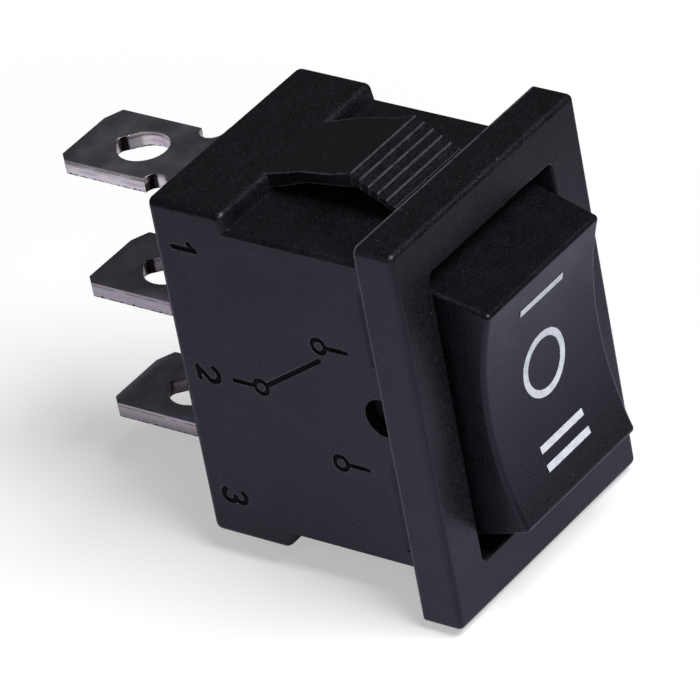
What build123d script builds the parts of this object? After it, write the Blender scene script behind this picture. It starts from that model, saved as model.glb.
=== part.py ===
# Miniature changeover rocker switch that snaps into a panel, with three blade terminals.
# Millimetres. The rocker faces -Y, +Z is the I end and +Y goes into the panel.
# The origin is the centre of the panel cut-out, on the seat under the bezel.
from build123d import *
import os
from math import acos, asin, cos, degrees, radians, sin

os.makedirs("parts", exist_ok=True)

# Bezel
bezel_width = 15.0
bezel_height = 21.0
bezel_thick = 2.15
opening_width = 10.0
opening_height = 16.1
rim = 0.5
channel_depth = 0.2
bezel_corner = 0.34
bezel_round = 0.3

# Body behind the bezel
body_width = 12.45
body_end = 9.5
end_wall = 8.6
lip_front = 8.74
lip_foot_upper = 8.6
lip_foot_lower = 8.05
body_depth = 13.12
lip_round = 0.4
block_round = 0.4
rear_round = 0.42
long_bevel = 0.2
rib_count = 6
rib_pitch = 0.46
rib_drop = 0.27
cavity_depth = 11.3

# Rocker and its pivot
pivot_y = 1.2
pin_radius = 0.97
pin_hole_radius = 1.05
pin_reach = 5.5
rocker_half = 4.8
rocker_front_half = 4.6
face_radius = 16.74
face_low_y = -3.73
corner_y = -4.82
corner_z = 6.07
head_slope = 0.26
ledge_y = -0.7
skirt_radius = 7.9
skirt_end_angle = 97
hollow_radius = 6.4
wall = 1.0
boss_radius = 2.2
boss_end = 6.3
bore_radius = 1.45
bore_floor = -1.9

# Plunger, spring and seesaw
plunger_radius = 1.4
shoulder_y = 4.2
plunger_body_end = 6.9
tip_radius = 0.7
tip_end = 8.52
spigot_radius = 0.85
spring_radius = 1.13
wire_radius = 0.14
spring_turns = 7
seesaw_front = 8.45
seesaw_thick = 0.5
dish_radius = 5.0
dish_depth = 0.12
contact_z = 5.0
moving_radius = 1.2
dome_radius = 3.12
fixed_radius = 1.3

# Terminals
pitch = 7.05
tab_thick = 0.8
tab_half = 2.375
tab_tip = 21.9
left_cut = 0.62
right_cut = 0.75
tip_cut = 0.6
lead_length = 0.7
lead_depth = 0.2
root_left = -2.6
root_right = 2.9
root_end = 15.2
notch_y = 15.85
notch_radius = 0.65
hole_y = 18.25
hole_radius = 1.3
hole_end_y = 19.45
hole_end_radius = 0.45
latch_hole_x = -0.2
latch_hole_y = 13.4
latch_hole_radius = 1.25
pad_front = 10.43
pad_half = 2.2
pad_inner = 3.4
nose_y = 9.38
nose_radius = 0.4

engraving = 0.12
body_half = body_width / 2
side_plane = Plane(origin=(-body_half, 0, 0), x_dir=(0, 0, -1), z_dir=(-1, 0, 0))
tab_levels = (pitch, 0, -pitch)


def around_pivot(radius, angle):
    """Point in (y, z) on a circle about the pivot, the angle counted from -Y towards +Z."""
    return pivot_y - radius * cos(radians(angle)), radius * sin(radians(angle))


# Snap wing of the +Z end: a thin sprung flap with six grip ribs at its free end
outer = [(9.2, body_end), (lip_front, body_end), (6.65, 10.16), (4.7, 10.5), (3.45, 10.9)]
for step in range(rib_count):
    crest_y = 3.45 - rib_pitch * step
    crest_z = 10.9 - rib_drop * step
    outer += [(crest_y, crest_z), (crest_y - 0.1, crest_z - 0.2)]
outer = list(dict.fromkeys(outer))
inner = [(0.45, 9.27), (0.45, 8.87), (3.2, 10.15), (4.6, 9.92), (6.4, 9.6), (8.2, 8.9), (9.2, 8.7)]
with BuildPart() as wing:
    with BuildSketch(Plane.YZ):
        with BuildLine():
            Polyline(*outer, *inner, close=True)
        make_face()
    extrude(amount=3, both=True)
    with BuildSketch(Plane.XY.offset(8)):
        with BuildLine():
            Polyline((-2.4, 9.3), (-2.4, 8.7), (-2.65, 3.6), (-2.65, 0.3), (2.65, 0.3), (2.65, 3.6),
                     (2.4, 8.7), (2.4, 9.3), close=True)
        make_face()
    extrude(amount=4, mode=Mode.INTERSECT)

# Housing: bezel, body, snap wings and terminal latches in one moulding
with BuildPart() as housing:
    with BuildSketch(Plane.XZ):
        RectangleRounded(bezel_width, bezel_height, bezel_corner)
    extrude(amount=bezel_thick)
    fillet(housing.faces().sort_by(Axis.Y)[0].edges(), radius=bezel_round)
    with BuildSketch(Plane.XZ):
        Rectangle(bezel_width - 2 * rim, bezel_height - 2 * rim)
    extrude(amount=channel_depth, taper=45, mode=Mode.SUBTRACT)

    with BuildSketch(Plane.YZ):
        with BuildLine():
            Polyline((-channel_depth, end_wall), (lip_foot_upper, end_wall), (lip_front, body_end),
                     (body_depth, body_end), (body_depth, -body_end), (lip_front, -body_end),
                     (lip_foot_lower, -end_wall), (-channel_depth, -end_wall), close=True)
        make_face()
    extrude(amount=body_half, both=True)
    lip_edges = [e for e in housing.edges().filter_by(Axis.X)
                 if abs(e.center().Y - lip_front) < 0.01 and abs(abs(e.center().Z) - body_end) < 0.01]
    fillet(lip_edges, radius=lip_round)
    long_edges = [e for e in housing.edges().filter_by(Axis.Y)
                  if abs(abs(e.center().Z) - end_wall) < 0.01 and abs(abs(e.center().X) - body_half) < 0.01]
    chamfer(long_edges, length=long_bevel)
    block_edges = [e for e in housing.edges() if lip_front - 0.1 < e.center().Y < body_depth - 0.05
                   and abs(abs(e.center().Z) - body_end) < 0.1 and abs(abs(e.center().X) - body_half) < 0.01]
    fillet(block_edges, radius=block_round)
    fillet(housing.faces().sort_by(Axis.Y)[-1].edges(), radius=rear_round)

    # Opening and cavity
    with BuildSketch(Plane.XZ.offset(bezel_thick)):
        RectangleRounded(opening_width, opening_height, 0.3)
    extrude(amount=-cavity_depth - bezel_thick, mode=Mode.SUBTRACT)
    fillet(housing.faces().sort_by(Axis.Y)[0].inner_wires()[0].edges(), radius=0.15)

    # Pivot holes through both side walls
    with BuildSketch(Plane.YZ):
        with Locations((pivot_y, 0)):
            Circle(pin_hole_radius)
    extrude(amount=body_width, both=True, mode=Mode.SUBTRACT)

    # Shallow scoops in the side walls next to the bezel, on both sides of the pivot
    for side in (-1, 1):
        for low, length in ((2.9, 4.2), (-7.6, 5.0)):
            with BuildSketch(Plane.XY.offset(low)):
                with BuildLine():
                    Polyline((side * (body_half + 0.1), 1.4), (side * body_half, 1.4),
                             (side * (body_half - 0.16), 0.9), (side * (body_half - 0.32), 0.2),
                             (side * (body_half - 0.35), -channel_depth),
                             (side * (body_half + 0.1), -channel_depth), close=True)
                make_face()
            extrude(amount=length, mode=Mode.SUBTRACT)

    add(wing.part)
    add(mirror(wing.part, about=Plane.XY, mode=Mode.PRIVATE))

    # Terminal slots through the rear wall, each with its recess and snap latch
    slot_middle = (root_left + root_right) / 2
    for level in tab_levels:
        with BuildSketch(Plane.XZ.offset(-cavity_depth + 0.5)):
            with Locations((slot_middle, level)):
                Rectangle(root_right - root_left + 0.1, tab_thick + 0.1)
        extrude(amount=-3, mode=Mode.SUBTRACT)
        with BuildSketch(Plane.XZ.offset(-body_depth)):
            with BuildLine():
                Polyline((1.8, level - 0.3), (1.8, level + 2.05), (-1.9, level + 2.05),
                         (-2.9, level + 1.1), (-3.3, level - 0.3), close=True)
            make_face()
        extrude(amount=0.8, mode=Mode.SUBTRACT)
        with BuildSketch(Plane.YZ.offset(-1.65)):
            with BuildLine():
                Polyline((11.9, level + 0.44), (11.9, level + 2.1), (12.86, level + 2.0),
                         (13.75, level + 1.65), (13.95, level + 1.4), (14.05, level + 0.5),
                         (13.95, level + 0.44), close=True)
            make_face()
        extrude(amount=2.5)
        with BuildSketch(Plane.YZ.offset(-0.85)):
            with BuildLine():
                Polyline((12.6, level - 0.2), (12.6, level + 0.6), (13.9, level + 0.6),
                         (13.2, level - 0.2), close=True)
            make_face()
        extrude(amount=1.2)

    # Shallow ejector marks on the rear face
    with BuildSketch(Plane.XZ.offset(-body_depth)):
        with Locations((3.6, 3.2), (3.8, -3.9)):
            Circle(0.8)
    extrude(amount=0.06, mode=Mode.SUBTRACT)

    # Fine outline of the mould insert on the +X side
    with BuildSketch(Plane.YZ.offset(body_half)):
        with Locations((7.8, 0)):
            RectangleRounded(6.5, 12.26, 0.3)
            RectangleRounded(6.34, 12.1, 0.22, mode=Mode.SUBTRACT)
    extrude(amount=-0.06, mode=Mode.SUBTRACT)

    # Plain terminal numbers on the -X side, one beside each terminal
    with BuildSketch(side_plane):
        with Locations((-pitch, -11.35)):
            SlotCenterToCenter(1.3, 0.3, rotation=90)
        with Locations((-pitch - 0.17, -10.86)):
            SlotCenterToCenter(0.45, 0.3, rotation=45)
        with BuildLine(mode=Mode.PRIVATE) as two_bow:
            CenterArc((0, -11.2), 0.4, -35, 195)
        SlotArc(two_bow.edges()[0], 0.3)
        with Locations((0, -11.71)):
            SlotCenterToCenter(0.82, 0.3, rotation=45)
        with Locations((0.02, -12.0)):
            SlotCenterToCenter(0.66, 0.3)
        with BuildLine(mode=Mode.PRIVATE) as three_top:
            CenterArc((pitch, -11.02), 0.33, -80, 225)
        SlotArc(three_top.edges()[0], 0.3)
        with BuildLine(mode=Mode.PRIVATE) as three_low:
            CenterArc((pitch, -11.66), 0.36, -150, 230)
        SlotArc(three_low.edges()[0], 0.3)
    extrude(amount=-engraving, mode=Mode.SUBTRACT)

    # Changeover switch symbol on the -X side
    with BuildSketch(side_plane):
        with Locations((0, -8.3), (-3.3, -4.3), (3.3, -4.3)):
            Circle(0.5)
            Circle(0.24, mode=Mode.SUBTRACT)
        with Locations((0, -9.35), (-3.3, -3.25), (3.3, -3.25)):
            Rectangle(0.26, 1.3)
        with Locations((-1.3, -6.2)):
            SlotCenterToCenter(4.2, 0.26, rotation=123)
    extrude(amount=-engraving, mode=Mode.SUBTRACT)
housing.part.label = "housing"
export_step(housing.part, "parts/housing.step")

# Rocker: concave face, sloping flat ends, a round skirt about the pivot, and a hollow back
# with a central socket for the spring
face_centre_y = face_low_y - face_radius
head_end_z = corner_z + head_slope * (ledge_y - corner_y)
ledge_angle = degrees(acos((pivot_y - ledge_y) / skirt_radius))
skirt_start = around_pivot(skirt_radius, ledge_angle)
skirt_mid = around_pivot(skirt_radius, (ledge_angle + skirt_end_angle) / 2)
skirt_end = around_pivot(skirt_radius, skirt_end_angle)
with BuildPart() as rocker:
    with BuildSketch(Plane.YZ):
        with BuildLine():
            ThreePointArc((corner_y, -corner_z), (face_low_y, 0), (corner_y, corner_z))
            Polyline((corner_y, corner_z), (ledge_y, head_end_z), skirt_start)
            ThreePointArc(skirt_start, skirt_mid, skirt_end)
            Line(skirt_end, (skirt_end[0], -skirt_end[1]))
            ThreePointArc((skirt_end[0], -skirt_end[1]), (skirt_mid[0], -skirt_mid[1]),
                          (skirt_start[0], -skirt_start[1]))
            Polyline((skirt_start[0], -skirt_start[1]), (ledge_y, -head_end_z), (corner_y, -corner_z))
        make_face()
    extrude(amount=rocker_half, both=True)
    # Draft on the two long sides of the head
    for side in (-1, 1):
        with BuildSketch(Plane.XY.offset(-12)):
            with BuildLine():
                Polyline((side * rocker_half, ledge_y), (side * (rocker_half + 1), ledge_y),
                         (side * (rocker_half + 1), -5.4),
                         (side * (rocker_front_half - 0.04), -5.4), close=True)
            make_face()
        extrude(amount=24, mode=Mode.SUBTRACT)
    face_edges = [e for e in rocker.edges() if e.center().Y < -3 and abs(e.center().Z) < 0.5]
    end_edges = [e for e in rocker.edges() if e.center().Y < corner_y + 0.3]
    side_edges = [e for e in rocker.edges() if ledge_y - 0.3 > e.center().Y > corner_y + 0.3
                  and abs(e.center().Z) > 5.5]
    fillet(face_edges + end_edges + side_edges, radius=0.23)

    # Hollow from the rear
    with BuildSketch(Plane.YZ):
        with Locations((pivot_y, 0)):
            Circle(hollow_radius)
        with Locations((face_centre_y, 0)):
            Circle(face_radius + 1.1, mode=Mode.SUBTRACT)
    extrude(amount=rocker_half - wall, both=True, mode=Mode.SUBTRACT)

    # Socket for the spring and plunger, tied to the sides by webs
    with BuildSketch(Plane.XZ.offset(3.2)):
        Circle(boss_radius)
    extrude(amount=-boss_end - 3.2)
    with BuildSketch(Plane.XZ.offset(3.0)):
        Rectangle(2 * rocker_half - 1, 0.9)
    extrude(amount=-6.4)
    with BuildSketch(Plane.XZ.offset(-bore_floor)):
        Circle(bore_radius)
    extrude(amount=-12, mode=Mode.SUBTRACT)

    # Cheeks round the pivot, and the two pivot pins
    for side in (-1, 1):
        with BuildSketch(Plane.YZ.offset(side * (rocker_half - wall))):
            with Locations((pivot_y, 0)):
                Circle(2.4)
        extrude(amount=side * wall)
        with BuildSketch(Plane.YZ.offset(side * (rocker_half - 0.2))):
            with Locations((pivot_y, 0)):
                Circle(pin_radius)
        extrude(amount=side * (pin_reach - rocker_half + 0.2))
rocker.part.label = "rocker"
export_step(rocker.part, "parts/rocker.step")

# Plunger: slides in the rocker's socket, its round tip on the seesaw
with BuildPart() as plunger:
    with BuildSketch(Plane.XY):
        with BuildLine():
            Polyline((0, 3.2), (spigot_radius - 0.15, 3.2), (spigot_radius, 3.35),
                     (spigot_radius, shoulder_y), (plunger_radius, shoulder_y),
                     (plunger_radius, plunger_body_end), (tip_radius, plunger_body_end + 0.6),
                     (tip_radius, tip_end - tip_radius))
            RadiusArc((tip_radius, tip_end - tip_radius), (0, tip_end), -tip_radius)
            Line((0, tip_end), (0, 3.2))
        make_face()
    revolve(axis=Axis.Y)
plunger.part.label = "plunger"
export_step(plunger.part, "parts/plunger.step")

# Compression spring inside the rocker's socket
spring_start = bore_floor + wire_radius + 0.03
spring_height = shoulder_y - bore_floor - 2 * wire_radius - 0.06
with BuildPart() as spring:
    with BuildLine() as coil:
        Helix(spring_height / spring_turns, spring_height, spring_radius,
              center=(0, spring_start, 0), direction=(0, 1, 0))
    with BuildSketch(Plane(origin=coil.line @ 0, z_dir=coil.line % 0)):
        Circle(wire_radius)
    sweep(is_frenet=True)
spring.part.label = "spring"
export_step(spring.part, "parts/spring.step")

# Seesaw: copper strip with a dish for the plunger and a waist between the fulcrum horns
with BuildPart() as seesaw:
    with BuildSketch(Plane.XZ.offset(-seesaw_front)):
        RectangleRounded(4.2, 12.8, 0.8)
        with Locations((2.1, 0), (-2.1, 0)):
            Rectangle(0.8, 1.7, mode=Mode.SUBTRACT)
    extrude(amount=-seesaw_thick)
    with BuildSketch(Plane.YZ):
        with Locations((seesaw_front - dish_radius + dish_depth, 0)):
            Circle(dish_radius)
    extrude(amount=3, both=True, mode=Mode.SUBTRACT)
    with BuildSketch(Plane.XZ.offset(-seesaw_front)):
        with Locations((0, contact_z), (0, -contact_z)):
            Circle(0.6)
    extrude(amount=-1, mode=Mode.SUBTRACT)
seesaw.part.label = "seesaw"
export_step(seesaw.part, "parts/seesaw.step")

# Moving contacts: silver rivets with domed heads behind the seesaw
seesaw_back = seesaw_front + seesaw_thick
with BuildPart() as seesaw_contact_upper:
    with BuildSketch(Plane.XY.offset(contact_z)):
        with BuildLine():
            Line((0, seesaw_front + 0.05), (0.57, seesaw_front + 0.05))
            Line((0.57, seesaw_front + 0.05), (0.57, seesaw_back + 0.02))
            Line((0.57, seesaw_back + 0.02), (moving_radius, seesaw_back + 0.02))
            Line((moving_radius, seesaw_back + 0.02), (moving_radius, seesaw_back + 0.26))
            RadiusArc((moving_radius, seesaw_back + 0.26), (0, seesaw_back + 0.5), -dome_radius)
            Line((0, seesaw_back + 0.5), (0, seesaw_front + 0.05))
        make_face()
    revolve(axis=Axis((0, 0, contact_z), (0, 1, 0)))
seesaw_contact_upper.part.label = "seesaw_contact_upper"
export_step(seesaw_contact_upper.part, "parts/seesaw_contact_upper.step")

with BuildPart() as seesaw_contact_lower:
    add(mirror(seesaw_contact_upper.part, about=Plane.XY, mode=Mode.PRIVATE))
seesaw_contact_lower.part.label = "seesaw_contact_lower"
export_step(seesaw_contact_lower.part, "parts/seesaw_contact_lower.step")

# Blade that all three terminals share, drawn at the middle level; its solder hole narrows to the tip
flank = asin((hole_radius - hole_end_radius) / (hole_end_y - hole_y))
flank_points = [(-hole_radius * cos(flank), hole_y + hole_radius * sin(flank)),
                (-hole_end_radius * cos(flank), hole_end_y + hole_end_radius * sin(flank)),
                (hole_end_radius * cos(flank), hole_end_y + hole_end_radius * sin(flank)),
                (hole_radius * cos(flank), hole_y + hole_radius * sin(flank))]
with BuildPart() as blade:
    with BuildSketch(Plane.XY.offset(-tab_thick / 2)):
        with BuildLine():
            Polyline((root_left, pad_front), (root_left, root_end), (-tab_half, root_end),
                     (-tab_half, tab_tip - tip_cut), (left_cut - tab_half, tab_tip),
                     (tab_half - right_cut, tab_tip), (tab_half, tab_tip - tip_cut),
                     (tab_half, root_end), (root_right, root_end), (root_right, pad_front),
                     close=True)
        make_face()
        with Locations((tab_half, notch_y), (-tab_half, notch_y)):
            Circle(notch_radius, mode=Mode.SUBTRACT)
        with Locations((0, hole_y)):
            Circle(hole_radius, mode=Mode.SUBTRACT)
        with Locations((0, hole_end_y)):
            Circle(hole_end_radius, mode=Mode.SUBTRACT)
        with BuildLine():
            Polyline(*flank_points, close=True)
        make_face(mode=Mode.SUBTRACT)
        with Locations((latch_hole_x, latch_hole_y)):
            Circle(latch_hole_radius, mode=Mode.SUBTRACT)
    extrude(amount=tab_thick)
    # Thinned tip that leads into the mating connector
    for side in (-1, 1):
        with BuildSketch(Plane.YZ.offset(-tab_half - 0.1)):
            with BuildLine():
                Polyline((tab_tip - lead_length, side * tab_thick / 2),
                         (tab_tip + 0.1, side * (tab_thick / 2 - lead_depth)),
                         (tab_tip + 0.1, side * (tab_thick / 2 + 0.1)),
                         (tab_tip - lead_length, side * (tab_thick / 2 + 0.1)), close=True)
            make_face()
        extrude(amount=2 * tab_half + 0.2, mode=Mode.SUBTRACT)
    # Staking ears at the wall: one bent down on +X, one sheared up on -X
    with BuildSketch(Plane.YZ.offset(root_right - 0.02)):
        with BuildLine():
            Polyline((13.16, 0.4), (13.76, 0.4), (13.76, -1.6), (13.61, -1.85), (13.16, -1.85), close=True)
        make_face()
    extrude(amount=0.45)
    with BuildSketch(Plane.YZ.offset(root_left)):
        with BuildLine():
            Polyline((13.2, 0.3), (14.2, 1.0), (14.5, 0.3), close=True)
        make_face()
    extrude(amount=0.4)

# Outer terminals: the strip turns towards the middle inside and holds a fixed contact
with BuildPart() as terminal_upper:
    add(blade.part.moved(Location((0, 0, pitch))))
    with BuildSketch(Plane.XZ.offset(-pad_front)):
        with Locations((0, pitch + tab_thick / 2)):
            Rectangle(2 * pad_half, pitch + tab_thick / 2 - pad_inner, align=(Align.CENTER, Align.MAX))
        with Locations((0, contact_z)):
            Circle(0.6, mode=Mode.SUBTRACT)
    extrude(amount=-tab_thick)
terminal_upper.part.label = "terminal_upper"
export_step(terminal_upper.part, "parts/terminal_upper.step")

with BuildPart() as terminal_lower:
    add(blade.part.moved(Location((0, 0, -pitch))))
    with BuildSketch(Plane.XZ.offset(-pad_front)):
        with Locations((0, -pitch - tab_thick / 2)):
            Rectangle(2 * pad_half, pitch + tab_thick / 2 - pad_inner, align=(Align.CENTER, Align.MIN))
        with Locations((0, -contact_z)):
            Circle(0.6, mode=Mode.SUBTRACT)
    extrude(amount=-tab_thick)
terminal_lower.part.label = "terminal_lower"
export_step(terminal_lower.part, "parts/terminal_lower.step")

# Common terminal: a rounded nose carries the seesaw and two horns keep it central
with BuildPart() as terminal_common:
    add(blade.part)
    with BuildSketch(Plane.YZ):
        with Locations((nose_y, 0)):
            Circle(nose_radius)
        with Locations(((nose_y + pad_front + 0.1) / 2, 0)):
            Rectangle(pad_front + 0.1 - nose_y, tab_thick)
    extrude(amount=1.6, both=True)
    for side in (-1, 1):
        with BuildSketch(Plane.XY.offset(-tab_thick / 2)):
            with BuildLine():
                Polyline((side * 1.5, pad_front + 0.1), (side * 2.5, pad_front + 0.1), (side * 2.5, 8.1),
                         (side * 2.3, 7.8), (side * 2.0, 7.8), (side * 1.85, 8.0), (side * 1.85, 9.5),
                         (side * 1.5, 9.5), close=True)
            make_face()
        extrude(amount=tab_thick)
terminal_common.part.label = "terminal_common"
export_step(terminal_common.part, "parts/terminal_common.step")

# Fixed contacts: flat silver rivets in the pads of the outer terminals
with BuildPart() as fixed_contact_upper:
    with BuildSketch(Plane.XY.offset(contact_z)):
        with BuildLine():
            Polyline((0, pad_front - 0.45), (fixed_radius - 0.12, pad_front - 0.45),
                     (fixed_radius, pad_front - 0.33), (fixed_radius, pad_front - 0.02),
                     (0.57, pad_front - 0.02), (0.57, pad_front + tab_thick), (0, pad_front + tab_thick),
                     close=True)
        make_face()
    revolve(axis=Axis((0, 0, contact_z), (0, 1, 0)))
fixed_contact_upper.part.label = "fixed_contact_upper"
export_step(fixed_contact_upper.part, "parts/fixed_contact_upper.step")

with BuildPart() as fixed_contact_lower:
    add(mirror(fixed_contact_upper.part, about=Plane.XY, mode=Mode.PRIVATE))
fixed_contact_lower.part.label = "fixed_contact_lower"
export_step(fixed_contact_lower.part, "parts/fixed_contact_lower.step")
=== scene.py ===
# Looks for a small changeover rocker switch: matte black nylon, white marks, plated blade terminals.
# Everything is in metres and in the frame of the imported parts.
import bpy
import bmesh
from math import cos, pi, radians, sin, sqrt
from mathutils import Matrix, Quaternion, Vector


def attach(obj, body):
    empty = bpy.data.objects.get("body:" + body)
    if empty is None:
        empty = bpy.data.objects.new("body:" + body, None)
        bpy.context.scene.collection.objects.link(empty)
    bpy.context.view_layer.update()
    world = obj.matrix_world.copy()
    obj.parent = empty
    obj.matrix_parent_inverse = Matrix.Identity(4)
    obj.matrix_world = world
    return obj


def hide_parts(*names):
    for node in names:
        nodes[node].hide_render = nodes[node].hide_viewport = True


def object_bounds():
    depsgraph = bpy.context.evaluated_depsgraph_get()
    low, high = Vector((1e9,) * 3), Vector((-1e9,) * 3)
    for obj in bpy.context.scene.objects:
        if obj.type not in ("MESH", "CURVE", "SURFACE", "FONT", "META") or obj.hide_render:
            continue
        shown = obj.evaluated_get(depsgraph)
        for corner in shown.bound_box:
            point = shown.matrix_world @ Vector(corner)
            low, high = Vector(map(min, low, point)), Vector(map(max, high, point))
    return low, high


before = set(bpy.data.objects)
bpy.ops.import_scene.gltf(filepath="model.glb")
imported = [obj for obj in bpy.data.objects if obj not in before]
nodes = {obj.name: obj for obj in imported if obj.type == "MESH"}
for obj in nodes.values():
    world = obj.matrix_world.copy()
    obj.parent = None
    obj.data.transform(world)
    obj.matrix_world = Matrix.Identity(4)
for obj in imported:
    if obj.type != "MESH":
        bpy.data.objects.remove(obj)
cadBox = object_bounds()
scene = bpy.context.scene
mm = 0.001


class Wire:  # a socket that takes part in Python arithmetic
    def __init__(self, finish, socket):
        self.finish = finish
        self.socket = socket

    def maths(self, operation, *others, clamp=False):
        settings = {"operation": operation, "use_clamp": clamp}
        return self.finish.node("ShaderNodeMath", settings, [self, *others])

    def __add__(self, other):
        return self.maths("ADD", other)

    def __sub__(self, other):
        return self.maths("SUBTRACT", other)

    def __rsub__(self, other):
        return self.finish.node("ShaderNodeMath", {"operation": "SUBTRACT"}, [other, self])

    def __mul__(self, other):
        return self.maths("MULTIPLY", other)

    def __truediv__(self, other):
        return self.maths("DIVIDE", other)

    def __abs__(self):
        return self.maths("ABSOLUTE")

    __radd__ = __add__
    __rmul__ = __mul__

    def clamped(self):
        return self.maths("ADD", 0.0, clamp=True)

    def ramp(self, low, high):  # 0 at low, 1 at high, smooth between
        settings = {"interpolation_type": "SMOOTHSTEP"}
        inputs = {"Value": self, "From Min": low, "From Max": high}
        return self.finish.node("ShaderNodeMapRange", settings, inputs)

    def band(self, low, high, soft):  # 1 between low and high
        return self.ramp(low - soft, low + soft) * self.ramp(high + soft, high - soft)


class Finish:  # one material and its nodes
    def __init__(self, name, constants):
        self.material = bpy.data.materials.new(name)
        self.material.use_nodes = True
        self.tree = self.material.node_tree
        self.shader = self.tree.nodes["Principled BSDF"]
        for socket, value in constants.items():
            self.shader.inputs[socket].default_value = value
        self.place = self.node("ShaderNodeTexCoord", out="Object")

    def node(self, kind, settings=None, inputs=None, out=0):
        made = self.tree.nodes.new(kind)
        for key, value in (settings or {}).items():
            setattr(made, key, value)
        pairs = inputs.items() if isinstance(inputs, dict) else enumerate(inputs or [])
        for key, value in pairs:
            self.plug(value, made.inputs[key])
        return Wire(self, made.outputs[out])

    def plug(self, value, socket):
        if isinstance(value, Wire):
            self.tree.links.new(value.socket, socket)
        elif socket.type == "RGBA" and len(value) == 3:
            socket.default_value = (*value, 1)
        else:
            socket.default_value = value

    def feed(self, socket, value):
        self.plug(value, self.shader.inputs[socket])

    def noise(self, size, detail=2.0, roughness=0.5, stretch=(1, 1, 1), seed=0.0):  # size of a lump
        scale = tuple(1 / (size * s) for s in stretch)
        placing = {"Vector": self.place, "Location": (seed, seed, seed), "Scale": scale}
        spot = self.node("ShaderNodeMapping", None, placing)
        lumps = {"Vector": spot, "Scale": 1.0, "Detail": detail, "Roughness": roughness}
        return self.node("ShaderNodeTexNoise", None, lumps)

    def mix(self, factor, first, second):
        settings = {"data_type": "RGBA", "blend_type": "MIX", "clamp_factor": True}
        return self.node("ShaderNodeMix", settings, {"Factor": factor, 6: first, 7: second}, out=2)

    def axis(self, letter):  # position along x, y or z
        return self.node("ShaderNodeSeparateXYZ", None, [self.place], out=letter)

    def facing(self, letter):  # how much the surface faces along x, y or z, either way
        normal = self.node("ShaderNodeTexCoord", out="Normal")
        return abs(self.node("ShaderNodeSeparateXYZ", None, [normal], out=letter))

    def rounded(self, radius):
        return self.node("ShaderNodeBevel", {"samples": 6}, {"Radius": radius})

    def edges(self, reach):  # 1 on sharp outer edges, 0 on the flat and in creases
        settings = {"samples": 8, "inside": True, "only_local": True}
        return 1 - self.node("ShaderNodeAmbientOcclusion", settings, {"Distance": reach}, out="AO")

    def bump(self, height, strength, distance, under=None):
        inputs = {"Height": height, "Strength": strength, "Distance": distance}
        if under:
            inputs["Normal"] = under
        self.feed("Normal", self.node("ShaderNodeBump", None, inputs))


nylon = {  # what the housing and the rocker share
    "tint": (0.86, 0.83, 0.97),
    "mottle": 0.9 * mm,
    "mottleRange": (0.35, 0.70),
    "mottleGloss": 0.16,
    "grain": 0.11 * mm,
    "grainRange": (0.25, 0.80),
    "grainShare": 0.75,  # the mottle has the rest of the tint
    "grainStrength": 0.85,
    "grainDepth": 0.016 * mm,
    "speck": 0.13 * mm,
    "speckRange": (0.765, 0.80),
    "smear": 2.6 * mm,
    "smearGloss": 0.22,
    "edgeLinePatches": 0.5 * mm,
    "edgeLinePatchRange": (0.30, 0.60),
    "edgeRound": 0.06 * mm,
    "edgeReach": 0.10 * mm,
    "edgeRange": (0.14, 0.40),
    "edgePatchy": 0.65,  # 0 for an even line, 1 for one that comes and goes
    # edge lines, part wear and part painted highlight on sharp outer edges
    "wearAndHighlight": 0.9,
    "wearGloss": 0.08,
}
housingLook = {
    "base": (0.0024, 0.0023, 0.0028),
    "pale": (0.0092, 0.0088, 0.0116),
    # painted light on the two sides near the bezel
    "near": (0.0220, 0.0205, 0.0300),
    # edge colour: part wear and part painted highlight
    "edgeWearAndHighlight": (0.1000, 0.0960, 0.1150),
    "dust": (0.1600, 0.1550, 0.1700),
    "dustAmount": 0.5,
    "roughness": 0.38,
    "grainGloss": 0.50,
    "specular": 0.47,
}
rockerLook = {
    "base": (0.0020, 0.0019, 0.0026),
    "pale": (0.0066, 0.0063, 0.0086),
    "edgeWearAndHighlight": (0.1100, 0.1060, 0.1250),
    "dust": (0.1300, 0.1250, 0.1400),
    "dustAmount": 0.35,
    "roughness": 0.34,
    "grainGloss": 0.28,
    "specular": 0.46,
}
nearBezel = (6.5 * mm, 1.0 * mm)  # painted light: the two sides grow a little paler towards the bezel
# the pale crest lines drawn on the ribs are part wear and part painted highlight
ribs = {  # grip ribs of the snap wings
    "crest": 3.45 * mm,
    "pitch": 0.46 * mm,
    "y": (0.98 * mm, 3.6 * mm),
    "soft": 0.03 * mm,
    "halfWidth": 2.7 * mm,
    "z": 9.6 * mm,
    "line": 0.075,  # half the width of a crest line, in pitches
    "patchy": 0.6,
    "strength": 0.65,
}
rim = {  # rear edge of the bezel, where a line of wear and painted highlight is drawn
    "x": 7.2 * mm,
    "z": 10.2 * mm,
    "ramp": 0.05 * mm,
    "y": (-0.10 * mm, 0.0),
    "soft": 0.015 * mm,
    "strength": 0.7,
}
engravedShade = {  # numbers and symbol on the -X side, painted dark as shade in their grooves
    "colour": (0.0022, 0.0020, 0.0030),
    "x": (-6.21 * mm, -6.065 * mm),
    "y": (3.0 * mm, 12.35 * mm),
    "z": 8.3 * mm,
    "soft": (0.01 * mm, 0.05 * mm),
    "duller": 0.6,
}
pinShade = {  # pivot pins of the rocker, painted darker as shade inside the housing's holes
    "x": 4.9 * mm,
    "colour": (0.0016, 0.0015, 0.0022),
    "duller": 0.4,
}


def patchy(edgeLinePatches, share):
    return edgeLinePatches * share + (1 - share)


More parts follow.
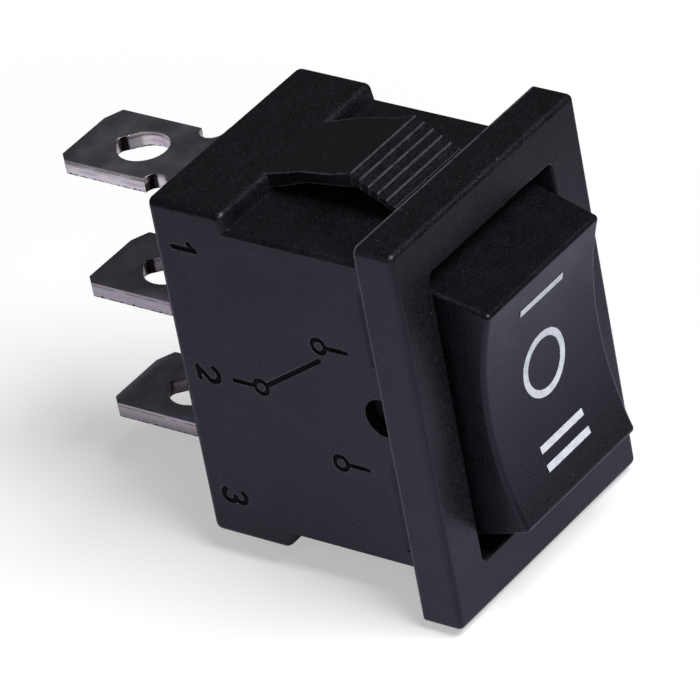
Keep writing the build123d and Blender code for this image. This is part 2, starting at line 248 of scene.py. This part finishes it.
def ribWearAndHighlight(x, y, z, edgeLinePatches, wearAndHighlight):  # pale crest lines, part wear and part painted highlight, with no other wear between them
    ribbed = y.band(*ribs["y"], ribs["soft"]) * abs(x).ramp(ribs["halfWidth"], ribs["halfWidth"] * 0.98)
    ribbed = ribbed * abs(z).ramp(ribs["z"] * 0.99, ribs["z"])
    step = (ribs["crest"] - y) / ribs["pitch"]
    crest = abs(step - step.maths("ROUND")).ramp(ribs["line"] * 1.5, ribs["line"] * 0.5)
    return wearAndHighlight * (1 - ribbed) + crest * ribbed * patchy(edgeLinePatches, ribs["patchy"]) * ribs["strength"]


# a pale line of wear and painted highlight along the bezel's rear edge
def rimWearAndHighlight(x, y, z, edgeLinePatches):
    outside = abs(x).ramp(rim["x"], rim["x"] + rim["ramp"]) + abs(z).ramp(rim["z"], rim["z"] + rim["ramp"])
    line = y.band(*rim["y"], rim["soft"]) * outside.clamped()
    return line * patchy(edgeLinePatches, nylon["edgePatchy"]) * rim["strength"]


def nylonFinish(name, look, onHousing):
    constants = {"IOR": 1.5, "Specular IOR Level": look["specular"], "Specular Tint": (*nylon["tint"], 1)}
    made = Finish(name, constants)
    x, y, z = (made.axis(letter) for letter in "XYZ")
    mottle = made.noise(nylon["mottle"], 4.0, 0.6)
    grain = made.noise(nylon["grain"], 1.0, 0.5, seed=3.0)
    lumps = mottle.ramp(*nylon["mottleRange"]) * (1 - nylon["grainShare"])
    lumps = lumps + grain.ramp(*nylon["grainRange"]) * nylon["grainShare"]
    tint = made.mix(lumps, look["base"], look["pale"])
    edgeLinePatches = made.noise(nylon["edgeLinePatches"], 3.0, 0.6, seed=9.0).ramp(*nylon["edgeLinePatchRange"])
    # edge lines: part wear and part painted highlight on sharp outer edges
    keen = made.edges(nylon["edgeReach"]).ramp(*nylon["edgeRange"])
    wearAndHighlight = (keen * patchy(edgeLinePatches, nylon["edgePatchy"])).clamped()
    if onHousing:
        # painted light: sides facing X turn paler and bluer towards the bezel
        near = y.ramp(*nearBezel) * made.facing("X").ramp(0.6, 0.9) * (0.2 + mottle * 0.6)
        tint = made.mix(near, tint, look["near"])
        wearAndHighlight = ribWearAndHighlight(x, y, z, edgeLinePatches, wearAndHighlight)
        wearAndHighlight = (wearAndHighlight + rimWearAndHighlight(x, y, z, edgeLinePatches)).clamped()
    tint = made.mix(wearAndHighlight * nylon["wearAndHighlight"], tint, look["edgeWearAndHighlight"])
    speck = made.noise(nylon["speck"], 1.0, 0.4, seed=21.0).ramp(*nylon["speckRange"])
    tint = made.mix(speck * look["dustAmount"], tint, look["dust"])
    if onHousing:
        # painted shade in the engraved strokes
        softX, softY = engravedShade["soft"]
        dark = x.band(*engravedShade["x"], softX) * y.band(*engravedShade["y"], softY)
        dark = dark * abs(z).ramp(engravedShade["z"], engravedShade["z"] * 0.99)
    else:
        # painted shade on the pivot pin ends
        dark = abs(x).ramp(pinShade["x"] * 0.995, pinShade["x"])
    darkPart = engravedShade if onHousing else pinShade
    made.feed("Base Color", made.mix(dark, tint, darkPart["colour"]))
    smear = made.noise(nylon["smear"], 3.0, 0.55, seed=40.0)
    uneven = (grain - 0.5) * look["grainGloss"] + (smear - 0.5) * nylon["smearGloss"]
    uneven = uneven + (mottle - 0.5) * nylon["mottleGloss"] + wearAndHighlight * nylon["wearGloss"]
    made.feed("Roughness", (look["roughness"] + (uneven + dark * darkPart["duller"])).clamped())
    made.bump(grain, nylon["grainStrength"], nylon["grainDepth"], made.rounded(nylon["edgeRound"]))
    return made.material


inkLook = {
    "low": (0.50, 0.53, 0.60),
    "high": (0.66, 0.69, 0.76),
    "pore": (0.10, 0.10, 0.12),
    "patch": 0.35 * mm,
    "poreSize": 0.1 * mm,
    "bumpSize": 0.08 * mm,
    "bumpDepth": 0.006 * mm,
}


def inkFinish():
    made = Finish("white_ink", {"IOR": 1.5, "Specular IOR Level": 0.4})
    patch = made.noise(inkLook["patch"], 3.0, 0.6)
    pore = made.noise(inkLook["poreSize"], 1.0, seed=5.0).ramp(0.72, 0.8)
    tint = made.mix(patch.ramp(0.25, 0.6), inkLook["low"], inkLook["high"])
    made.feed("Base Color", made.mix(pore * 0.5, tint, inkLook["pore"]))
    made.feed("Roughness", 0.45 + patch * 0.2)
    made.bump(made.noise(inkLook["bumpSize"], 2.0), 0.3, inkLook["bumpDepth"])
    return made.material


plating = {
    "face": (0.54, 0.52, 0.60),
    "blotch": (0.38, 0.37, 0.43),
    "brush": (0.64, 0.63, 0.70),
    "sheared": (1.0, 0.97, 0.88),
    "layer": (0.62, 0.54, 0.55),
    "lowerBladeShade": (0.48, 0.45, 0.43),
    "nickAndHoleShade": (0.035, 0.025, 0.030),
    "rollShade": (0.16, 0.08, 0.07),
    "copper": (0.74, 0.50, 0.36),
    "legSide": (0.50, 0.36, 0.30),
    "blotchSize": 1.3 * mm,
    "brushSize": 0.05 * mm,
    "pitSize": 0.22 * mm,
    "layerSize": 0.16 * mm,
    "streakSize": 0.12 * mm,
    "rollShadeSize": 0.9 * mm,
    "raggedSize": 0.16 * mm,
    "bumpDepth": 0.006 * mm,
}
strip = {  # where things are on the terminals
    "pitch": 7.05 * mm,
    "halfThick": 0.4 * mm,
    "upperFrom": (4.0 * mm, 5.0 * mm),
    "lowerTo": (-3.4 * mm, -3.6 * mm),
    "hole": (17.2 * mm, 20.4 * mm),
    "holeHalf": (1.5 * mm, 1.4 * mm),
    "holeEnd": (19.60 * mm, 19.86 * mm),
    "holeEndX": (0.12 * mm, 0.18 * mm),
    "holeLine": 0.75,
    "notchEnd": (16.12 * mm, 16.45 * mm),
    "notchX": ((-2.34 * mm, -2.30 * mm), (-1.6 * mm, -1.7 * mm)),
    "earY": ((12.9 * mm, 13.0 * mm), (14.9 * mm, 14.7 * mm)),
    "earX": (-2.0 * mm, -2.15 * mm),
    "legX": (2.85 * mm, 2.92 * mm),
}


def shearedSide(made, x, y, z, height, layer, streak):
    # lengthwise layers, with painted shade darkening the two lower blades
    mottled = layer.ramp(0.46, 0.62) * 0.65 + streak.ramp(0.5, 0.7) * 0.25
    side = made.mix(mottled, plating["sheared"], plating["layer"])
    upperLow, upperHigh = strip["upperFrom"]
    side = made.mix(z.ramp(upperHigh, upperLow) * 0.85, side, plating["lowerBladeShade"])
    # a brown line of painted shade under the upper face, where its edge rolls over, and a ragged dark
    # lower edge
    line = height.band(0.50, 0.66, 0.06) * made.noise(plating["rollShadeSize"], 2.0, seed=17.0).ramp(0.36, 0.48)
    side = made.mix(line * 0.7, side, plating["rollShade"])
    ragged = made.noise(plating["raggedSize"], 2.0, 0.5, stretch=(1.5, 1.5, 1), seed=31.0)
    side = made.mix((height + ragged * 0.9).ramp(-0.40, -0.48), side, plating["nickAndHoleShade"])
    # painted shade: dark patches in the wire holes and the half-round notches
    inHole = y.band(*strip["hole"], 0.05 * mm) * abs(x).ramp(*strip["holeHalf"])
    onLower = z.ramp(*strip["lowerTo"])
    holeDark = y.band(*strip["holeEnd"], 0.04 * mm) * inHole * x.ramp(*strip["holeEndX"]) * (1 - onLower)
    holeTop = inHole * x.ramp(0, 0.1 * mm) * height.ramp(0.62, 0.76) * onLower * strip["holeLine"]
    outer, inner = strip["notchX"]
    notchDark = y.band(*strip["notchEnd"], 0.05 * mm) * x.ramp(*outer) * x.ramp(*inner)
    return made.mix(holeDark + holeTop + notchDark, side, plating["nickAndHoleShade"])


def platedFinish():
    made = Finish("tin_plating", {"Metallic": 1.0})
    x, y, z = (made.axis(letter) for letter in "XYZ")
    level = z - strip["pitch"] * (z / strip["pitch"]).maths("ROUND")
    height = level / strip["halfThick"]  # -1 at the under face, 1 at the upper one
    blotch = made.noise(plating["blotchSize"], 4.0, 0.6)
    brushed = made.noise(plating["brushSize"], 2.0, 0.6, stretch=(22, 2, 1), seed=14.0)
    pitted = made.noise(plating["pitSize"], 2.0, 0.6, seed=25.0)
    layer = made.noise(plating["layerSize"], 3.0, 0.6, stretch=(9, 9, 1), seed=7.0)
    streak = made.noise(plating["streakSize"], 2.0, 0.6, stretch=(1, 1, 10), seed=11.0)
    face = made.mix(blotch.ramp(0.3, 0.7), plating["blotch"], plating["face"])
    face = made.mix(brushed.ramp(0.35, 0.75) * 0.25, face, plating["brush"])
    face = made.mix(pitted.ramp(0.68, 0.80) * 0.5, face, plating["brush"])
    flat = made.facing("Z").ramp(0.55, 0.85)
    tint = made.mix(flat, shearedSide(made, x, y, z, height, layer, streak), face)

    # bare copper on the staking ears, beyond the strip's two faces, and a brownish tone on the sides of
    # the legs
    earLow, earHigh = strip["earY"]
    proud = abs(height).ramp(1.02, 1.12) * y.ramp(*earHigh) * y.ramp(*earLow)
    ear = proud * x.ramp(*strip["earX"]) * (0.6 + blotch * 0.5)
    tint = made.mix(ear, tint, plating["copper"])
    leg = x.ramp(*strip["legX"]) * made.facing("Y").ramp(0.5, 0.2)
    made.feed("Base Color", made.mix(leg * 0.5, tint, plating["legSide"]))
    faceRough = 0.28 + blotch * 0.14 + brushed * 0.06
    made.feed("Roughness", (flat * faceRough + (1 - flat) * (0.22 + layer * 0.14)).clamped())
    relief = pitted * flat * 0.4 + brushed * flat * 0.4 + (1 - flat) * (layer + streak * 0.5)
    made.bump(relief, 0.25, plating["bumpDepth"])
    return made.material


innerMetals = {
    "spring_wire": {
        "nodes": ["spring"],
        "tone": (0.56, 0.56, 0.58),
        "roughness": 0.22,
        "patch": 0.3 * mm,
    },
    "copper_strip": {
        "nodes": ["seesaw"],
        "tone": (0.78, 0.42, 0.26),
        "roughness": 0.28,
        "patch": 0.8 * mm,
    },
    "contact_silver": {
        "nodes": [
            "seesaw_contact_upper",
            "seesaw_contact_lower",
            "fixed_contact_upper",
            "fixed_contact_lower",
        ],
        "tone": (0.88, 0.87, 0.84),
        "roughness": 0.18,
        "patch": 0.3 * mm,
    },
}
metalShade = 0.8  # of the tone, in the darker patches
metalDepth = 0.003 * mm


def plainMetal(name, look):
    made = Finish(name, {"Metallic": 1.0})
    patch = made.noise(look["patch"], 4.0, 0.6)
    shaded = tuple(c * metalShade for c in look["tone"])
    made.feed("Base Color", made.mix(patch.ramp(0.3, 0.7), shaded, look["tone"]))
    made.feed("Roughness", look["roughness"] + patch * 0.15)
    made.bump(made.noise(look["patch"] / 6, 3.0), 0.2, metalDepth)
    return made.material


acetal = {
    "low": (0.68, 0.65, 0.58),
    "high": (0.77, 0.75, 0.69),
    "roughness": 0.32,
    "patch": 0.8 * mm,
    "grain": 0.12 * mm,
    "grainDepth": 0.004 * mm,
}


def acetalFinish():
    made = Finish("natural_acetal", {"IOR": 1.48, "Subsurface Weight": 0.15})
    patch = made.noise(acetal["patch"], 3.0)
    made.feed("Base Color", made.mix(patch.ramp(0.3, 0.7), acetal["low"], acetal["high"]))
    made.feed("Roughness", acetal["roughness"] + patch * 0.12)
    made.bump(made.noise(acetal["grain"], 2.0), 0.15, acetal["grainDepth"])
    return made.material


def paint(names, material):
    for name in names:
        for entry in nodes[name].material_slots:
            entry.material = material


paint(["housing"], nylonFinish("housing_nylon", housingLook, True))
paint(["rocker"], nylonFinish("rocker_nylon", rockerLook, False))
paint(["plunger"], acetalFinish())
for name, look in innerMetals.items():
    paint(look["nodes"], plainMetal(name, look))
print("finishes done")

blades = {
    "nodes": ("terminal_upper", "terminal_common", "terminal_lower"),
    "edge": 0.04 * mm,
    "sharp": radians(35),  # corners keener than this are broken
    "smooth": radians(40),
}


def eased(name):  # a terminal with its stamped edges broken, in place of its plain node
    mesh = bmesh.new()
    mesh.from_mesh(nodes[name].data)
    bmesh.ops.remove_doubles(mesh, verts=mesh.verts, dist=0.001 * mm)
    bmesh.ops.dissolve_limit(mesh, angle_limit=radians(1), verts=mesh.verts, edges=mesh.edges)
    keen = [e for e in mesh.edges if len(e.link_faces) == 2 and e.calc_face_angle() > blades["sharp"]]
    bmesh.ops.bevel(mesh, geom=keen, offset=blades["edge"], offset_type="OFFSET", segments=2, profile=0.5,
                    affect="EDGES", material=-1, clamp_overlap=True)
    data = bpy.data.meshes.new(name + "_strip")
    mesh.to_mesh(data)
    mesh.free()
    piece = bpy.data.objects.new(name + "_strip", data)
    scene.collection.objects.link(piece)
    data.shade_smooth()
    data.set_sharp_from_angle(angle=blades["smooth"])
    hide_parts(name)
    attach(piece, "base")
    return piece


platedMetal = platedFinish()
for name in blades["nodes"]:
    eased(name).data.materials.append(platedMetal)
print("terminals done")

marks = {
    "faceRadius": 16.74 * mm,
    "faceLow": -3.73 * mm,
    "length": 3.5 * mm,
    "thick": 0.02 * mm,
    "proud": 0.014 * mm,
    "bars": {  # level and stroke of each bar
        "mark_one": ((4.35 * mm, 0.34 * mm),),
        "mark_two": ((-3.36 * mm, 0.36 * mm), (-4.32 * mm, 0.36 * mm)),
    },
    "ringLevel": 0.45 * mm,
    "ringOuter": 1.70 * mm,
    "ringStroke": 0.38 * mm,
}


def printed(mesh, name):  # gives flat ink its thickness and wraps it round the hollow face
    centre = marks["faceLow"] - marks["faceRadius"]
    bmesh.ops.recalc_face_normals(mesh, faces=mesh.faces)
    bmesh.ops.solidify(mesh, geom=mesh.faces, thickness=marks["thick"])
    for vert in mesh.verts:
        outer = abs(vert.co.y) > marks["thick"] / 2
        reach = marks["faceRadius"] + (-marks["proud"] if outer else marks["thick"] - marks["proud"])
        vert.co.y = centre + sqrt(reach ** 2 - vert.co.z ** 2)
    bmesh.ops.recalc_face_normals(mesh, faces=mesh.faces)
    data = bpy.data.meshes.new(name)
    mesh.to_mesh(data)
    mesh.free()
    piece = bpy.data.objects.new(name, data)
    scene.collection.objects.link(piece)
    return piece


def barInk(name, bars):
    mesh = bmesh.new()
    for level, stroke in bars:
        before = set(mesh.verts)
        bmesh.ops.create_grid(mesh, x_segments=12, y_segments=4, size=0.5)
        fresh = [v for v in mesh.verts if v not in before]
        bmesh.ops.scale(mesh, vec=(marks["length"], stroke, 1), verts=fresh)
        bmesh.ops.rotate(mesh, matrix=Matrix.Rotation(pi / 2, 3, "X"), verts=fresh)
        bmesh.ops.translate(mesh, vec=(0, 0, level), verts=fresh)
    return printed(mesh, name)


def ringInk(name):
    mesh = bmesh.new()
    rims = []
    for radius in (marks["ringOuter"], marks["ringOuter"] - marks["ringStroke"]):
        made = bmesh.ops.create_circle(mesh, segments=96, radius=radius)
        rims += list({e for v in made["verts"] for e in v.link_edges})
    bmesh.ops.bridge_loops(mesh, edges=rims)
    bmesh.ops.rotate(mesh, matrix=Matrix.Rotation(pi / 2, 3, "X"), verts=mesh.verts)
    bmesh.ops.translate(mesh, vec=(0, 0, marks["ringLevel"]), verts=mesh.verts)
    return printed(mesh, name)


ink = inkFinish()
pieces = [barInk(name, bars) for name, bars in marks["bars"].items()]
pieces.append(ringInk("mark_off"))
for piece in pieces:
    piece.data.materials.append(ink)
    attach(piece, "rocker")
print("marks done")

studio = {
    "floorSize": 4.0,
    "floorGap": 0.02 * mm,
    "floorColour": (0.62, 0.62, 0.63),
    "floorLift": 0.42,
    "whiteFrom": (40 * mm, 160 * mm),
    "mirroredNear": (0.58, 0.55, 0.68),
    "mirroredFar": (0.05, 0.05, 0.06),
    "mirroredCentre": (-8 * mm, 12 * mm, 0),
    "mirroredFade": (32 * mm, 80 * mm),
    "skyLow": 0.05,
    "lampAim": Vector((0, 8 * mm, 0)),
    "lampDistance": 0.6,
    "lamps": {
        "key": {"azimuth": -2, "elevation": 56, "size": (0.34, 0.30), "power": 4.2},
        "fill": {"azimuth": -60, "elevation": 35, "size": (0.30, 0.30), "power": 0.5},
    },
}
scene.view_settings.view_transform = "Standard"

floorMesh = bmesh.new()
bmesh.ops.create_grid(floorMesh, x_segments=1, y_segments=1, size=studio["floorSize"] / 2)
bmesh.ops.translate(floorMesh, vec=(0, 0, cadBox[0].z - studio["floorGap"]), verts=floorMesh.verts)
floorData = bpy.data.meshes.new("floor")
floorMesh.to_mesh(floorData)
floorMesh.free()
floor = bpy.data.objects.new("floor", floorData)
scene.collection.objects.link(floor)

# painted light: metal mirrors a floor painted pale near the switch and dark further off,
# and the camera sees the floor fade to white
floorFinish = Finish("pale_floor", {"Roughness": 0.9, "Specular IOR Level": 0.0, "Emission Strength": 1.0})
fromCentre = [floorFinish.place, studio["mirroredCentre"]]
offset = floorFinish.node("ShaderNodeVectorMath", {"operation": "SUBTRACT"}, fromCentre)
away = floorFinish.node("ShaderNodeVectorMath", {"operation": "LENGTH"}, [offset], out="Value")
near, far = studio["mirroredNear"], studio["mirroredFar"]
mirrored = floorFinish.mix(away.ramp(*studio["mirroredFade"]), near, far)
glossyRay = floorFinish.node("ShaderNodeLightPath", out="Is Glossy Ray")
floorFinish.feed("Base Color", floorFinish.mix(glossyRay, studio["floorColour"], mirrored))
cameraRay = floorFinish.node("ShaderNodeLightPath", out="Is Camera Ray")
lift = floorFinish.mix(away.ramp(*studio["whiteFrom"]), (studio["floorLift"],) * 3, (1, 1, 1))
floorFinish.feed("Emission Color", floorFinish.mix(cameraRay, (0, 0, 0), lift))
floorData.materials.append(floorFinish.material)

world = bpy.data.worlds.new("studio")
scene.world = world
world.use_nodes = True
tree = world.node_tree
background = tree.nodes["Background"]
background.inputs["Color"].default_value = (1, 1, 1, 1)
worldPath = tree.nodes.new("ShaderNodeLightPath")
brightness = tree.nodes.new("ShaderNodeMapRange")
brightness.inputs["To Min"].default_value = studio["skyLow"]
brightness.inputs["To Max"].default_value = 1.0
tree.links.new(worldPath.outputs["Is Camera Ray"], brightness.inputs["Value"])
tree.links.new(brightness.outputs["Result"], background.inputs["Strength"])


def towards(azimuth, elevation):  # azimuth 0 is on the rocker's side, -Y, and 90 is on +X
    a, e = radians(azimuth), radians(elevation)
    return Vector((sin(a) * cos(e), -cos(a) * cos(e), sin(e)))


for name, box in studio["lamps"].items():
    lampData = bpy.data.lights.new(name, "AREA")
    lampData.shape = "RECTANGLE"
    lampData.size, lampData.size_y = box["size"]
    lampData.energy = box["power"]
    lamp = bpy.data.objects.new(name, lampData)
    scene.collection.objects.link(lamp)
    outwards = towards(box["azimuth"], box["elevation"])
    lamp.location = studio["lampAim"] + outwards * studio["lampDistance"]
    lamp.rotation_mode = "QUATERNION"
    lamp.rotation_quaternion = (-outwards).to_track_quat("-Z", "Y")

view = {
    "azimuth": -48.62,
    "elevation": 32.62,
    "lean": 11.14,
    "distance": 336.81 * mm,
    "aim": Vector((-0.379, 7.562, -1.413)) * mm,
    "lens": 365.1,
    "sensor": 36,
    "nearest": 0.01,
}
cameraData = bpy.data.cameras.new("camera")
cameraData.sensor_width = view["sensor"]
cameraData.lens = view["lens"]
cameraData.clip_start = view["nearest"]
camera = bpy.data.objects.new("camera", cameraData)
scene.collection.objects.link(camera)
back = towards(view["azimuth"], view["elevation"])
lean = Quaternion((0, 0, 1), -radians(view["lean"]))
camera.location = view["aim"] + back * view["distance"]
camera.rotation_mode = "QUATERNION"
camera.rotation_quaternion = (-back).to_track_quat("-Z", "Y") @ lean
scene.camera = camera
print("studio done")
